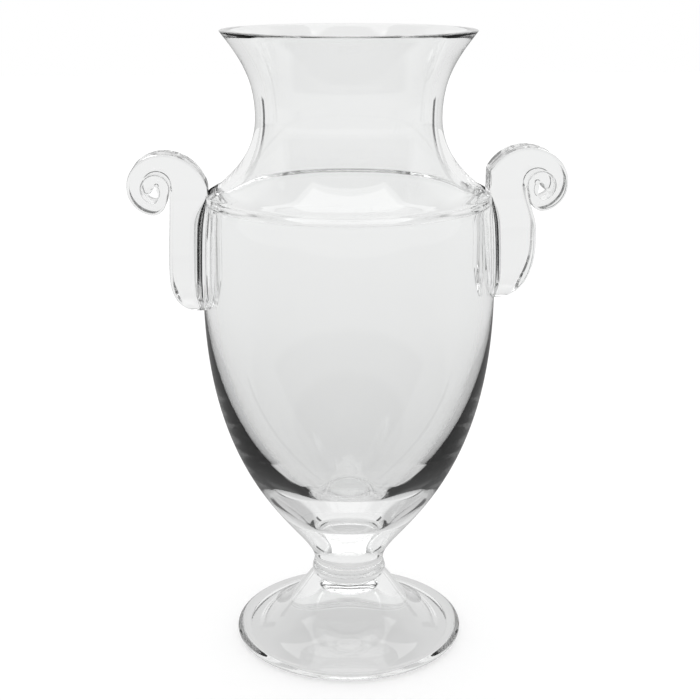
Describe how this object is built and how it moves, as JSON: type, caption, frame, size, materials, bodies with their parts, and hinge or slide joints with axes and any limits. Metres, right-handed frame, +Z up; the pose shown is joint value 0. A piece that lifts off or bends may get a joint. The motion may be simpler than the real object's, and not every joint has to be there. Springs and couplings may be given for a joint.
{
  "type": "trophy vase",
  "caption": "Handled trophy vase in thick clear glass: flared mouth, waisted neck, body tapering to a solid base, collared stem and hollow domed foot. Holds flowers or stands as an award.",
  "frame": {"origin": "centre of the ground ring under the foot, on the surface the vase stands on", "axes": "+Z up along the axis of the vase, +X towards the right handle, -Y towards the viewer of the front"},
  "size_m": [0.2451, 0.1656, 0.36],
  "materials": {
    "clear_glass": "clear colourless glass with a fire-polished skin and a cut and polished flat rim"
  },
  "bodies": {
    "root": {"foot": "clear_glass", "collar": "clear_glass", "bowl": "clear_glass", "handle_left": "clear_glass", "handle_right": "clear_glass"}
  },
  "joints": []
}
